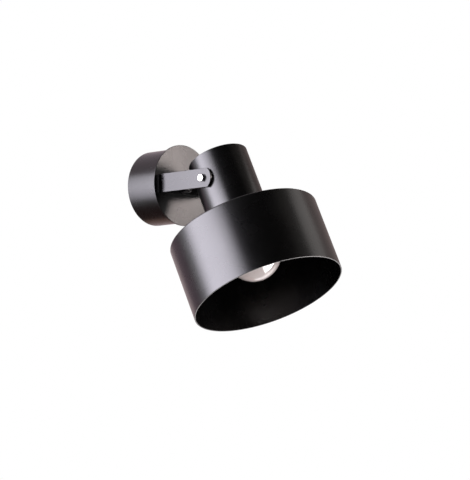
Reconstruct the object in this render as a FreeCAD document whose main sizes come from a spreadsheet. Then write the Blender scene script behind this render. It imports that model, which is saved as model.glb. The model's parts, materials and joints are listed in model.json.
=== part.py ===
"""Pivoting spotlight wall light, as a parametric assembly.

Row frame, in millimetres: the origin is the middle of the wall bracket's back, +X is to the right
as seen from the room, +Y goes into the wall and +Z is up. The lamp stands out towards -Y.

The canopy, its fittings and the yoke are drawn straight in this frame. Everything on the tilting
head is drawn in a head frame, with the pivot at its origin, the head's axis along Z and the mouth
of the shade towards -Z, and is then placed at the pivot with the tilt at rest.
"""
import FreeCAD, Part
import math
import os
import Sketcher

os.makedirs("parts", exist_ok=True)
document = FreeCAD.newDocument("pivoting_spotlight_wall_light")

# ------------------------------------------------------------------ driving dimensions

DIMENSIONS = (
    ("canopy_diameter", 74.5, "outside of the drawn cup"),
    ("canopy_depth", 41.0, "wall to the face of the front disc"),
    ("canopy_sheet", 1.2, "wall of the cup"),
    ("canopy_corner_radius", 1.5, "outer corner between the cup's side and its front"),
    ("disc_diameter", 81.0, "front disc"),
    ("disc_thickness", 1.5, "front disc"),
    ("edge_softening", 0.3, "radius on the edges of coated sheet"),
    ("bracket_width", 20.0, "wall bracket, across"),
    ("bracket_sheet", 1.5, "wall bracket"),
    ("bracket_ear_length", 13.0, "how far the ears stand out from the wall"),
    ("bracket_bend_radius", 1.0, "inside the bends of the ears"),
    ("bracket_clearance", 0.3, "between the ears' corners and the cup"),
    ("wall_slot_spacing", 44.0, "centre to centre of the two wall slots"),
    ("wall_slot_length", 12.0, "end to end"),
    ("wall_slot_width", 5.0, "for wall screws"),
    ("cable_hole_diameter", 11.0, "where the house cable enters"),
    ("grub_diameter", 4.0, "screws that hold the cup on the ears"),
    ("grub_length", 6.0, "screws that hold the cup on the ears"),
    ("grub_recess", 0.3, "how far they lie below the cup's surface"),
    ("grub_inset", 8.0, "their distance from the wall"),
    ("thread_slack", 0.05, "radial room between a screw and its thread"),
    ("nipple_diameter", 10.0, "hollow threaded tubes, outside"),
    ("nipple_bore", 7.0, "hollow threaded tubes, inside"),
    ("nipple_inside", 9.0, "reach of the canopy's tube behind the cup's front"),
    ("nipple_outside", 8.6, "reach of the canopy's tube in front of the disc"),
    ("hole_slack", 0.2, "radial room round a tube or screw that passes through"),
    ("big_nut_across", 14.0, "nuts on the hollow tubes, across flats"),
    ("big_nut_height", 4.0, "nuts on the hollow tubes"),
    ("big_washer_diameter", 18.0, "washers on the hollow tubes"),
    ("big_washer_thickness", 0.8, "washers on the hollow tubes"),
    ("washer_teeth", 16, "teeth of the toothed washer"),
    ("bush_flange_diameter", 10.0, "cable bush in the tube's front end"),
    ("bush_flange_thickness", 1.2, "cable bush"),
    ("bush_barrel_length", 6.0, "cable bush"),
    ("bush_wall", 0.7, "cable bush"),
    ("fit_slack", 0.1, "radial room between pieces that are pushed together"),
    ("block_length", 25.0, "terminal block, along its poles"),
    ("block_width", 16.0, "terminal block, along the wires"),
    ("block_height", 9.0, "terminal block, without its screw towers"),
    ("pole_pitch", 8.0, "terminal block"),
    ("tower_diameter", 6.0, "terminal block's screw towers"),
    ("tower_height", 3.5, "terminal block's screw towers"),
    ("insert_diameter", 5.0, "brass inserts, outside"),
    ("insert_bore", 3.2, "brass inserts, inside"),
    ("clamp_screw_diameter", 3.0, "screws in the brass inserts"),
    ("block_screw_diameter", 3.0, "screw that holds the terminal block"),
    ("block_screw_head", 5.6, "screw that holds the terminal block"),
    ("block_screw_inset", 3.0, "its distance from the block's edge"),
    ("earth_screw_diameter", 4.0, "earth screw"),
    ("earth_head_diameter", 8.0, "earth screw's head"),
    ("earth_head_height", 2.4, "earth screw's head"),
    ("earth_washer_diameter", 10.0, "earth washer"),
    ("earth_washer_thickness", 1.0, "earth washer"),
    ("yoke_width", 18.5, "width of the strip"),
    ("yoke_sheet", 2.0, "thickness of the strip"),
    ("yoke_gap", 62.0, "between the arms"),
    ("yoke_bend_radius", 1.5, "inside the bends"),
    ("arm_tip_radius", 11.5, "arc at the arms' ends, round the pivot"),
    ("pivot_reach", 59.0, "front disc to pivot"),
    ("rest_tilt", 25.5, "degrees outwards from straight down, at rest"),
    ("pivot_bolt_diameter", 4.0, "pivot bolts"),
    ("pivot_bolt_length", 12.0, "under the head"),
    ("pivot_head_across", 7.0, "across the flats of the bolts' heads"),
    ("pivot_head_height", 2.8, "pivot bolts"),
    ("pivot_head_chamfer", 0.35, "pivot bolts"),
    ("pivot_head_turn", 25.5, "degrees that the hexagons are turned on the head"),
    ("pivot_dimple_diameter", 2.6, "cone in the middle of the bolts' heads"),
    ("pivot_dimple_depth", 0.4, "cone in the middle of the bolts' heads"),
    ("pivot_running_slack", 0.06, "radial, bolt in the yoke's hole"),
    ("friction_gap", 0.15, "left on each side of the friction washers and under the heads"),
    ("friction_washer_diameter", 12.0, "friction washers"),
    ("pivot_nut_height", 3.2, "nuts inside the neck"),
    ("pivot_washer_diameter", 9.0, "washers inside the neck"),
    ("pivot_washer_thickness", 0.8, "washers inside the neck"),
    ("neck_diameter", 60.0, "neck tube, outside"),
    ("neck_sheet", 1.2, "neck tube"),
    ("neck_above_pivot", 24.0, "pivot to the neck's top end"),
    ("neck_below_pivot", 53.0, "pivot to the shade's top"),
    ("cap_thickness", 1.2, "disc that closes the neck's top"),
    ("grommet_height", 12.0, "above the pivot"),
    ("grommet_hole_diameter", 9.0, "in the neck's back"),
    ("grommet_flange_diameter", 13.0, "cable grommet"),
    ("grommet_flange_thickness", 1.4, "cable grommet"),
    ("grommet_bore", 6.5, "cable grommet"),
    ("shade_diameter", 150.0, "drum, outside"),
    ("shade_depth", 75.0, "drum, outside"),
    ("shade_sheet", 1.0, "drum"),
    ("shade_corner_radius", 1.2, "outside, where the drum meets its top"),
    ("spigot_height", 4.0, "collar of the shade's top inside the neck"),
    ("spigot_wall", 1.0, "collar of the shade's top inside the neck"),
    ("holder_skirt_diameter", 39.5, "lampholder's threaded skirt"),
    ("holder_skirt_length", 9.0, "below the shade's top"),
    ("holder_flange_diameter", 46.0, "collar above the shade's top"),
    ("holder_flange_thickness", 3.0, "collar above the shade's top"),
    ("holder_shell_length", 17.0, "above the shade's top"),
    ("holder_wall", 2.0, "lampholder's mouldings"),
    ("holder_thread_pitch", 2.5, "thread for the shade ring"),
    ("holder_thread_depth", 0.4, "thread for the shade ring"),
    ("strap_width", 15.0, "strip inside the neck"),
    ("strap_sheet", 1.5, "strip inside the neck"),
    ("strap_bend_radius", 1.5, "inside the bends"),
    ("strap_corner_radius", 3.5, "upper corners of the strip's arms"),
    ("strap_clearance", 0.1, "between the strip's edges and the neck"),
    ("holder_cap_shoulder", 9.0, "radius of the cap's narrow top"),
    ("holder_cap_room", 4.5, "between the insert and the cap's shoulder"),
    ("holder_cap_neck", 4.0, "height of the cap's narrow top"),
    ("holder_cap_slope", 7.0, "height of the cap's sloping shoulder"),
    ("holder_cap_overlap", 8.0, "how far the cap covers the shell"),
    ("holder_nipple_length", 18.0, "lampholder's threaded tube"),
    ("holder_nipple_above", 6.0, "of it, above the strip's base"),
    ("insert_floor", 4.0, "lampholder insert"),
    ("insert_wall", 1.2, "lampholder insert"),
    ("screw_shell_wall", 0.4, "lampholder's metal thread"),
    ("contact_spring_travel", 1.5, "room between the insert's floor and the bulb's contact"),
    ("contact_sheet", 0.5, "lampholder's centre contact"),
    ("contact_width", 6.0, "lampholder's centre contact"),
    ("holder_screw_diameter", 3.5, "lampholder's terminal screws"),
    ("holder_screw_spacing", 16.0, "lampholder's terminal screws"),
    ("ring_diameter", 54.0, "shade ring"),
    ("ring_flange", 1.6, "shade ring's flange"),
    ("ring_height", 4.8, "shade ring"),
    ("ring_grip_diameter", 49.0, "shade ring's grip"),
    ("ring_notches", 18, "finger notches round the shade ring"),
    ("ring_notch_radius", 1.6, "finger notches round the shade ring"),
    ("bulb_diameter", 55.0, "globe"),
    ("bulb_length", 75.5, "globe's tip to the end contact"),
    ("bulb_cap_inset", 1.5, "how far the screw cap goes into the lampholder before it starts"),
    ("bulb_rim_rise", 5.0, "globe's middle to the rim where dome and housing meet"),
    ("bulb_wall", 1.2, "dome and housing"),
    ("bulb_neck_diameter", 28.0, "housing where it meets the screw cap"),
    ("bulb_flank_radius", 60.0, "hollow curve of the housing's flank"),
    ("bulb_cap_diameter", 26.4, "screw cap over its thread"),
    ("bulb_cap_length", 26.0, "screw cap with its end contact"),
    ("bulb_cap_sheet", 0.3, "screw cap"),
    ("bulb_thread_pitch", 3.6, "screw cap"),
    ("bulb_thread_depth", 0.8, "screw cap"),
    ("bulb_thread_turns", 5, "screw cap"),
    ("bulb_insulator_height", 2.6, "black glass at the cap's end"),
    ("bulb_contact_diameter", 9.5, "end contact"),
    ("bulb_contact_height", 0.9, "end contact"),
    ("board_thickness", 1.6, "bulb's circuit board"),
    ("board_clearance", 0.6, "round the circuit board's upper edge"),
    ("board_chips", 8, "light chips on the board"),
    ("board_chip_side", 2.8, "light chips"),
    ("board_chip_height", 0.7, "light chips"),
    ("board_chip_circle", 28.0, "diameter of the ring of chips"),
)

sheet = document.addObject("Spreadsheet::Sheet", "sheet")
for row, (alias, number, remark) in enumerate(DIMENSIONS, start=1):
    sheet.set(f"A{row}", alias.replace("_", " "))
    sheet.set(f"B{row}", str(number))
    sheet.set(f"C{row}", remark)
    sheet.setAlias(f"B{row}", alias)
document.recompute()


class Size:
    """A dimension that carries its number together with its formula over the sheet's cells."""

    def __init__(self, number, formula):
        self.number = float(number)
        self.formula = formula

    def __add__(self, other):
        other = as_size(other)
        return Size(self.number + other.number, f"({self.formula} + {other.formula})")

    def __radd__(self, other):
        return as_size(other) + self

    def __sub__(self, other):
        other = as_size(other)
        return Size(self.number - other.number, f"({self.formula} - {other.formula})")

    def __rsub__(self, other):
        return as_size(other) - self

    def __mul__(self, other):
        other = as_size(other)
        return Size(self.number * other.number, f"({self.formula} * {other.formula})")

    def __rmul__(self, other):
        return as_size(other) * self

    def __truediv__(self, other):
        other = as_size(other)
        return Size(self.number / other.number, f"({self.formula} / {other.formula})")

    def __neg__(self):
        return Size(-self.number, f"(0 - {self.formula})")


def as_size(value):
    """A plain number as a Size."""
    return value if isinstance(value, Size) else Size(value, repr(float(value)))


def root(value):
    return Size(math.sqrt(value.number), f"sqrt({value.formula})")


def sine(degrees):
    degrees = as_size(degrees)
    return Size(math.sin(math.radians(degrees.number)), f"sin({degrees.formula})")


def cosine(degrees):
    degrees = as_size(degrees)
    return Size(math.cos(math.radians(degrees.number)), f"cos({degrees.formula})")


class Cells:
    """The sheet's cells by name, each as a Size."""

    def __getattr__(self, alias):
        return Size(getattr(sheet, alias), f"sheet.{alias}")


size = Cells()

# ------------------------------------------------------------------ bodies and sketches

pieces = []
HEAD_PLACEMENT = (
    "placement(vector(0; -(sheet.canopy_depth + sheet.pivot_reach); 0);"
    " rotation(vector(1; 0; 0); -sheet.rest_tilt))"
)


def new_piece(label, on_head=False):
    """An empty body for one sub-part; pieces of the head are placed at the pivot, tilted."""
    body = document.addObject("PartDesign::Body", label)
    body.Label = label
    if on_head:
        body.setExpression("Placement", HEAD_PLACEMENT)
    pieces.append(body)
    return body


def origin_feature(body, role):
    """The body's own origin plane or axis of that role."""
    for feature in body.Origin.OriginFeatures:
        if feature.Role == role:
            return feature
    raise ValueError(f"{body.Label} has no {role}")


def new_sketch(body, role, name, offset=0):
    """A sketch on one of the body's origin planes, moved along the plane's normal by offset."""
    sketch = body.newObject("Sketcher::SketchObject", f"{body.Label}_{name}")
    sketch.AttachmentSupport = [(origin_feature(body, role), "")]
    sketch.MapMode = "FlatFace"
    sketch.setExpression("AttachmentOffset.Base.z", as_size(offset).formula)
    return sketch


def dimension(sketch, kind, *target_and_size):
    """Adds a dimensional constraint and ties it to the sheet."""
    *target, value = target_and_size
    value = as_size(value)
    index = sketch.addConstraint(Sketcher.Constraint(kind, *target, value.number))
    sketch.setExpression(f"Constraints[{index}]", value.formula)


def place_point(sketch, geometry, position, x, y):
    """Ties a point of the sketch to coordinates measured from the sketch's origin."""
    dimension(sketch, "DistanceX", -1, 1, geometry, position, x)
    dimension(sketch, "DistanceY", -1, 1, geometry, position, y)


def arc_between(start, end, radius):
    """The minor arc from start to end; a positive radius turns anticlockwise."""
    chord = end - start
    to_left = FreeCAD.Vector(-chord.y, chord.x, 0).normalize()
    rise = math.sqrt(radius ** 2 - (chord.Length / 2) ** 2)
    centre = (start + end) / 2 + to_left * math.copysign(rise, radius)
    first, last = (start, end) if radius > 0 else (end, start)
    first_angle = math.atan2(first.y - centre.y, first.x - centre.x)
    last_angle = math.atan2(last.y - centre.y, last.x - centre.x)
    circle = Part.Circle(centre, FreeCAD.Vector(0, 0, 1), abs(radius))
    return Part.ArcOfCircle(circle, first_angle, last_angle)


def draw_outline(sketch, corners):
    """A closed outline. Each corner is (x, y), or (x, y, radius) where an arc leads on from it."""
    corners = [tuple(as_size(value) for value in corner) for corner in corners]
    points = [FreeCAD.Vector(corner[0].number, corner[1].number, 0) for corner in corners]
    edges = []
    for corner, start, end in zip(corners, points, points[1:] + points[:1]):
        if len(corner) == 2:
            index = sketch.addGeometry(Part.LineSegment(start, end), False)
            edges.append((index, 1, 2))
        else:
            index = sketch.addGeometry(arc_between(start, end, corner[2].number), False)
            edges.append((index, 1, 2) if corner[2].number > 0 else (index, 2, 1))
    for (edge, _, edge_end), (following, following_start, _) in zip(edges, edges[1:] + edges[:1]):
        sketch.addConstraint(
            Sketcher.Constraint("Coincident", edge, edge_end, following, following_start))
    for corner, (edge, edge_start, _) in zip(corners, edges):
        place_point(sketch, edge, edge_start, corner[0], corner[1])
        if len(corner) == 3:
            radius = corner[2] if corner[2].number > 0 else -corner[2]
            dimension(sketch, "Radius", edge, radius)
    return sketch


def draw_circle(sketch, radius, x=0, y=0):
    radius, x, y = as_size(radius), as_size(x), as_size(y)
    centre = FreeCAD.Vector(x.number, y.number, 0)
    index = sketch.addGeometry(
        Part.Circle(centre, FreeCAD.Vector(0, 0, 1), radius.number), False)
    place_point(sketch, index, 3, x, y)
    dimension(sketch, "Radius", index, radius)
    return sketch


def draw_rectangle(sketch, width, height, x=0, y=0):
    """A rectangle with its middle at x, y."""
    left, right = x - width / 2, x + width / 2
    low, high = y - height / 2, y + height / 2
    return draw_outline(sketch, [(left, low), (right, low), (right, high), (left, high)])


def draw_slot(sketch, length, width, x, y):
    """An upright slot with round ends and its middle at x, y."""
    radius = width / 2
    reach = (length - width) / 2
    axis = FreeCAD.Vector(0, 0, 1)
    upper = FreeCAD.Vector(x.number, (y + reach).number, 0)
    lower = FreeCAD.Vector(x.number, (y - reach).number, 0)
    side = FreeCAD.Vector(radius.number, 0, 0)
    top = sketch.addGeometry(
        Part.ArcOfCircle(Part.Circle(upper, axis, radius.number), 0, math.pi), False)
    left = sketch.addGeometry(Part.LineSegment(upper - side, lower - side), False)
    bottom = sketch.addGeometry(
        Part.ArcOfCircle(Part.Circle(lower, axis, radius.number), math.pi, 2 * math.pi), False)
    right = sketch.addGeometry(Part.LineSegment(lower + side, upper + side), False)
    sketch.addConstraint(Sketcher.Constraint("Tangent", top, 2, left, 1))
    sketch.addConstraint(Sketcher.Constraint("Tangent", left, 2, bottom, 1))
    sketch.addConstraint(Sketcher.Constraint("Tangent", bottom, 2, right, 1))
    sketch.addConstraint(Sketcher.Constraint("Tangent", right, 2, top, 1))
    sketch.addConstraint(Sketcher.Constraint("Equal", top, bottom))
    place_point(sketch, top, 3, x, y + reach)
    place_point(sketch, bottom, 3, x, y - reach)
    dimension(sketch, "Radius", top, radius)
    return sketch


def draw_hexagon(sketch, across_flats, turn=0):
    """A hexagon round the sketch's origin, with a corner on its X axis before it is turned."""
    corner_radius = across_flats / 3 ** 0.5
    angles = [turn + 60 * step for step in range(6)]
    return draw_outline(
        sketch, [(corner_radius * cosine(angle), corner_radius * sine(angle)) for angle in angles])


# ------------------------------------------------------------------ features

def finish_feature(body, feature, removes=False, adds=False):
    """Recomputes, and makes sure that the feature did what it is for."""
    before = feature_volumes.get(body.Label, 0.0)
    document.recompute()
    after = body.Shape.Volume
    if removes and not after < before:
        raise ValueError(f"{feature.Label} removes nothing")
    if adds and not after > before:
        raise ValueError(f"{feature.Label} adds nothing")
    feature_volumes[body.Label] = after
    return feature


feature_volumes = {}


def pad(body, sketch, length, symmetric=False, reverse=False):
    """Raises the sketch along its normal, or to both sides, or against the normal."""
    feature = body.newObject("PartDesign::Pad", f"{sketch.Label}_pad")
    feature.Profile = sketch
    feature.setExpression("Length", as_size(length).formula)
    feature.SideType = "Symmetric" if symmetric else "One side"
    feature.Reversed = reverse
    return finish_feature(body, feature, adds=True)


def cut(body, sketch, depth=None, along_normal=True):
    """Cuts the sketch to a depth along or against its normal, or right through both ways."""
    feature = body.newObject("PartDesign::Pocket", f"{sketch.Label}_cut")
    feature.Profile = sketch
    if depth is None:
        feature.Type = "ThroughAll"
        feature.SideType = "Symmetric"
    else:
        feature.setExpression("Length", as_size(depth).formula)
        feature.Reversed = along_normal
    return finish_feature(body, feature, removes=True)


def revolve(body, sketch, axis="V_Axis"):
    feature = body.newObject("PartDesign::Revolution", f"{sketch.Label}_revolution")
    feature.Profile = sketch
    feature.ReferenceAxis = (sketch, [axis])
    feature.Angle = 360
    return finish_feature(body, feature, adds=True)


def groove(body, sketch, axis="V_Axis"):
    feature = body.newObject("PartDesign::Groove", f"{sketch.Label}_groove")
    feature.Profile = sketch
    feature.ReferenceAxis = (sketch, [axis])
    feature.Angle = 360
    return finish_feature(body, feature, removes=True)


def mirror(body, features, role):
    """Repeats the features on the other side of one of the body's origin planes."""
    feature = body.newObject("PartDesign::Mirrored", f"{body.Label}_mirror_{len(body.Group)}")
    feature.Originals = features
    feature.MirrorPlane = (origin_feature(body, role), [""])
    body.Tip = feature
    return finish_feature(body, feature)


def repeat_round(body, features, role, count):
    """Repeats the features round one of the body's origin axes."""
    feature = body.newObject("PartDesign::PolarPattern", f"{body.Label}_pattern")
    feature.Originals = features
    feature.Axis = (origin_feature(body, role), [""])
    feature.Angle = 360
    feature.setExpression("Occurrences", count.formula)
    body.Tip = feature
    return finish_feature(body, feature)


def round_edges(body, radius, chosen):
    """Fillets every edge of the body for which chosen(middle, edge) is true."""
    base = body.Tip
    names = []
    for number, edge in enumerate(base.Shape.Edges, start=1):
        middle = edge.valueAt((edge.FirstParameter + edge.LastParameter) / 2)
        if chosen(middle, edge):
            names.append(f"Edge{number}")
    if not names:
        raise ValueError(f"{body.Label} has no such edges")
    feature = body.newObject("PartDesign::Fillet", f"{body.Label}_fillet_{len(body.Group)}")
    feature.Base = (base, names)
    feature.setExpression("Radius", as_size(radius).formula)
    return finish_feature(body, feature)


def near(value, wanted):
    """Whether a coordinate lies where a Size says."""
    return abs(value - as_size(wanted).number) < 0.01


def turned_about_depth(body, name, corners):
    """A piece turned about the Y axis: corners are (radius, distance from the wall)."""
    sketch = new_sketch(body, "XY_Plane", name)
    draw_outline(sketch, [(corner[0], -corner[1]) + tuple(corner[2:]) for corner in corners])
    return revolve(body, sketch)


def turned_about_head(body, name, corners):
    """A piece turned about the head's axis: corners are (radius, height above the pivot)."""
    sketch = new_sketch(body, "XZ_Plane", name)
    draw_outline(sketch, corners)
    return revolve(body, sketch)


# ------------------------------------------------------------------ sizes worked out from the rest

canopy_radius = size.canopy_diameter / 2
canopy_bore_radius = canopy_radius - size.canopy_sheet
disc_back = size.canopy_depth - size.disc_thickness
cup_front_inside = disc_back - size.canopy_sheet
yoke_front = size.canopy_depth + size.yoke_sheet
nipple_radius = size.nipple_diameter / 2
nipple_bore_radius = size.nipple_bore / 2
nipple_hole_radius = nipple_radius + size.hole_slack
nipple_thread_radius = nipple_radius + size.thread_slack
nipple_front = size.canopy_depth + size.nipple_outside
ear_outside = root(
    (canopy_bore_radius - size.bracket_clearance) * (canopy_bore_radius - size.bracket_clearance)
    - size.bracket_width * size.bracket_width / 4)
ear_inside = ear_outside - size.bracket_sheet
pivot_distance = size.canopy_depth + size.pivot_reach
arm_inside = size.yoke_gap / 2
arm_outside = arm_inside + size.yoke_sheet
bolt_radius = size.pivot_bolt_diameter / 2
bolt_hole_radius = bolt_radius + size.hole_slack
bolt_seat = arm_outside + size.friction_gap
neck_radius = size.neck_diameter / 2
neck_bore_radius = neck_radius - size.neck_sheet
strap_outside = root(
    (neck_bore_radius - size.strap_clearance) * (neck_bore_radius - size.strap_clearance)
    - size.strap_width * size.strap_width / 4)
strap_inside = strap_outside - size.strap_sheet
shade_radius = size.shade_diameter / 2
shade_top = -size.neck_below_pivot
shade_ceiling = shade_top - size.shade_sheet
shade_mouth = shade_top - size.shade_depth
skirt_radius = size.holder_skirt_diameter / 2
shade_hole_radius = skirt_radius + size.hole_slack
holder_mouth = shade_top - size.holder_skirt_length
holder_shell_top = shade_top + size.holder_shell_length
holder_cap_outer = skirt_radius
holder_cap_inner = holder_cap_outer - size.holder_wall
holder_shell_upper = holder_cap_inner - size.fit_slack
holder_bore_radius = holder_shell_upper - size.holder_wall
globe_radius = size.bulb_diameter / 2
bulb_cap_start = holder_mouth + size.bulb_cap_inset
bulb_contact_end = bulb_cap_start + size.bulb_cap_length
globe_tip = bulb_contact_end - size.bulb_length
globe_middle = globe_tip + globe_radius
bulb_rim_height = globe_middle + size.bulb_rim_rise
bulb_rim_radius = root(
    globe_radius * globe_radius - size.bulb_rim_rise * size.bulb_rim_rise)
bulb_cap_radius = size.bulb_cap_diameter / 2
bulb_insulator_start = bulb_contact_end - size.bulb_contact_height - size.bulb_insulator_height
insert_floor_bottom = bulb_contact_end + size.contact_spring_travel
insert_floor_top = insert_floor_bottom + size.insert_floor
holder_cap_corner = insert_floor_top + size.holder_cap_room
holder_cap_ledge = holder_cap_corner + size.holder_cap_slope
strap_base_bottom = holder_cap_ledge + size.holder_cap_neck
strap_base_top = strap_base_bottom + size.strap_sheet
insert_outer_radius = holder_bore_radius - size.fit_slack
insert_bore_radius = insert_outer_radius - size.insert_wall
insert_mouth = holder_mouth + size.holder_wall
screw_shell_radius = insert_bore_radius - size.fit_slack

# ------------------------------------------------------------------ canopy


def canopy_shell():
    """Drawn cup with a closed front, open to the wall, with two holes for the grub screws."""
    body = new_piece("canopy_shell")
    turned_about_depth(body, "cup", [
        (canopy_radius, 0),
        (canopy_bore_radius, 0),
        (canopy_bore_radius, cup_front_inside),
        (nipple_hole_radius, cup_front_inside),
        (nipple_hole_radius, disc_back),
        (canopy_radius, disc_back),
    ])
    round_edges(body, size.canopy_corner_radius, lambda middle, edge: (
        near(middle.y, -disc_back) and near(math.hypot(middle.x, middle.z), canopy_radius)))
    holes = new_sketch(body, "XY_Plane", "grub_holes")
    draw_circle(holes, size.grub_diameter / 2 + size.hole_slack, 0, -size.grub_inset)
    cut(body, holes)


def front_disc():
    body = new_piece("front_disc")
    sketch = new_sketch(body, "XZ_Plane", "disc", disc_back)
    draw_circle(sketch, size.disc_diameter / 2)
    draw_circle(sketch, nipple_hole_radius)
    pad(body, sketch, size.disc_thickness)
    round_edges(body, size.edge_softening, lambda middle, edge: (
        near(math.hypot(middle.x, middle.z), size.disc_diameter / 2)
        and edge.Curve.TypeId == "Part::GeomCircle"))


def wall_bracket():
    """Strip on the wall with two upright slots, a cable hole, and an ear at each end."""
    body = new_piece("wall_bracket")
    strip = new_sketch(body, "XZ_Plane", "strip")
    draw_rectangle(strip, size.bracket_width, ear_outside * 2)
    pad(body, strip, size.bracket_sheet)
    ear = new_sketch(body, "XY_Plane", "ear", ear_inside)
    draw_rectangle(
        ear, size.bracket_width, size.bracket_ear_length, as_size(0), -size.bracket_ear_length / 2)
    ear_pad = pad(body, ear, size.bracket_sheet)
    mirror(body, [ear_pad], "XY_Plane")
    bend = size.bracket_bend_radius
    round_edges(body, bend + size.bracket_sheet, lambda middle, edge: (
        near(middle.y, 0) and near(abs(middle.z), ear_outside) and near(middle.x, 0)))
    round_edges(body, bend, lambda middle, edge: (
        near(middle.y, -size.bracket_sheet) and near(abs(middle.z), ear_inside)))
    holes = new_sketch(body, "XZ_Plane", "wall_holes")
    draw_slot(
        holes, size.wall_slot_length, size.wall_slot_width, as_size(0), size.wall_slot_spacing / 2)
    draw_slot(
        holes, size.wall_slot_length, size.wall_slot_width, as_size(0), -size.wall_slot_spacing / 2)
    draw_circle(holes, size.cable_hole_diameter / 2)
    cut(body, holes)
    threads = new_sketch(body, "XY_Plane", "ear_threads")
    draw_circle(threads, size.grub_diameter / 2 + size.thread_slack, 0, -size.grub_inset)
    cut(body, threads)


def canopy_grub_screws():
    """Two headless screws, above and below, each with a hexagon socket."""
    body = new_piece("canopy_grub_screws")
    radius = size.grub_diameter / 2
    top = canopy_radius - size.grub_recess
    bottom = top - size.grub_length
    chamfer = radius / 4
    shank = new_sketch(body, "XZ_Plane", "shank", size.grub_inset)
    draw_outline(shank, [
        (0, bottom),
        (radius - chamfer, bottom),
        (radius, bottom + chamfer),
        (radius, top - chamfer),
        (radius - chamfer, top),
        (0, top),
    ])
    turned = revolve(body, shank)
    socket = new_sketch(body, "XY_Plane", "socket", top)
    socket.setExpression("AttachmentOffset.Base.y", (-size.grub_inset).formula)
    draw_hexagon(socket, radius)
    sunk = cut(body, socket, radius, along_normal=False)
    mirror(body, [turned, sunk], "XY_Plane")


def hexagon_nut(body, role, start, across, height, hole_radius):
    """Plain hexagon with a round hole, along the plane's normal."""
    blank = new_sketch(body, role, "blank", start)
    draw_hexagon(blank, across)
    draw_circle(blank, hole_radius)
    return pad(body, blank, height)


def ring_of(body, role, start, outer_radius, inner_radius, thickness):
    """Flat ring along the plane's normal."""
    sketch = new_sketch(body, role, "ring", start)
    draw_circle(sketch, outer_radius)
    draw_circle(sketch, inner_radius)
    return pad(body, sketch, thickness)


def threaded_tube():
    """Hollow tube that clamps cup, disc and yoke together and lets the lead through."""
    body = new_piece("threaded_tube")
    chamfer = (nipple_radius - nipple_bore_radius) / 3
    back = cup_front_inside - size.nipple_inside
    turned_about_depth(body, "tube", [
        (nipple_bore_radius, back),
        (nipple_bore_radius, nipple_front),
        (nipple_radius - chamfer, nipple_front),
        (nipple_radius, nipple_front - chamfer),
        (nipple_radius, back + chamfer),
        (nipple_radius - chamfer, back),
    ])


def toothed_washer():
    """Washer behind the cup's front, with teeth cut in its rim."""
    body = new_piece("toothed_washer")
    outer_radius = size.big_washer_diameter / 2
    start = cup_front_inside - size.big_washer_thickness
    ring_of(body, "XZ_Plane", start, outer_radius, nipple_hole_radius, size.big_washer_thickness)
    tooth_gap = new_sketch(body, "XZ_Plane", "tooth_gap", start)
    tooth_width = outer_radius * 2 * math.pi / size.washer_teeth / 2
    draw_outline(tooth_gap, [
        (outer_radius * 0.75, 0),
        (outer_radius * 1.1, -tooth_width / 2),
        (outer_radius * 1.1, tooth_width / 2),
    ])
    first_gap = cut(body, tooth_gap, size.big_washer_thickness)
    repeat_round(body, [first_gap], "Y_Axis", size.washer_teeth)


def canopy_nut():
    body = new_piece("canopy_nut")
    start = cup_front_inside - size.big_washer_thickness - size.big_nut_height
    hexagon_nut(
        body, "XZ_Plane", start, size.big_nut_across, size.big_nut_height, nipple_thread_radius)


def yoke_washer():
    body = new_piece("yoke_washer")
    ring_of(
        body, "XZ_Plane", yoke_front, size.big_washer_diameter / 2, nipple_hole_radius,
        size.big_washer_thickness)


def yoke_nut():
    """Nut in front of the yoke, with its corners turned down towards the room."""
    body = new_piece("yoke_nut")
    start = yoke_front + size.big_washer_thickness
    hexagon_nut(
        body, "XZ_Plane", start, size.big_nut_across, size.big_nut_height, nipple_thread_radius)
    front = start + size.big_nut_height
    flat_radius = size.big_nut_across / 2
    corner_radius = size.big_nut_across / 3 ** 0.5 + size.hole_slack
    drop = (corner_radius - flat_radius) / 3 ** 0.5
    corner = new_sketch(body, "XY_Plane", "corner")
    draw_outline(corner, [
        (flat_radius, -front),
        (corner_radius, -front),
        (corner_radius, -(front - drop)),
    ])
    groove(body, corner)


def cable_bush():
    """Plastic bush that keeps the tube's front edge off the lead."""
    body = new_piece("cable_bush")
    barrel_radius = nipple_bore_radius - size.fit_slack
    bore_radius = barrel_radius - size.bush_wall
    back = nipple_front - size.bush_barrel_length
    front = nipple_front + size.bush_flange_thickness
    turned_about_depth(body, "bush", [
        (bore_radius, back),
        (bore_radius, front),
        (size.bush_flange_diameter / 2, front),
        (size.bush_flange_diameter / 2, nipple_front),
        (barrel_radius, nipple_front),
        (barrel_radius, back),
    ])
    round_edges(body, size.edge_softening, lambda middle, edge: near(middle.y, -front))


# ------------------------------------------------------------------ wiring inside the canopy

block_back = cup_front_inside - size.block_height
tower_back = block_back - size.tower_height
insert_distance = cup_front_inside - size.block_height / 2
block_place = (
    size.big_nut_across / 3 ** 0.5
    + root(canopy_bore_radius * canopy_bore_radius - size.block_length * size.block_length / 4)) / 2
earth_place = -(size.big_nut_across / 3 ** 0.5 + canopy_bore_radius) / 2
block_screw_place = block_place - size.block_width / 2 + size.block_screw_inset


def pole_heights():
    """Height of each pole of the terminal block."""
    return [-size.pole_pitch, as_size(0), size.pole_pitch]


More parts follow.
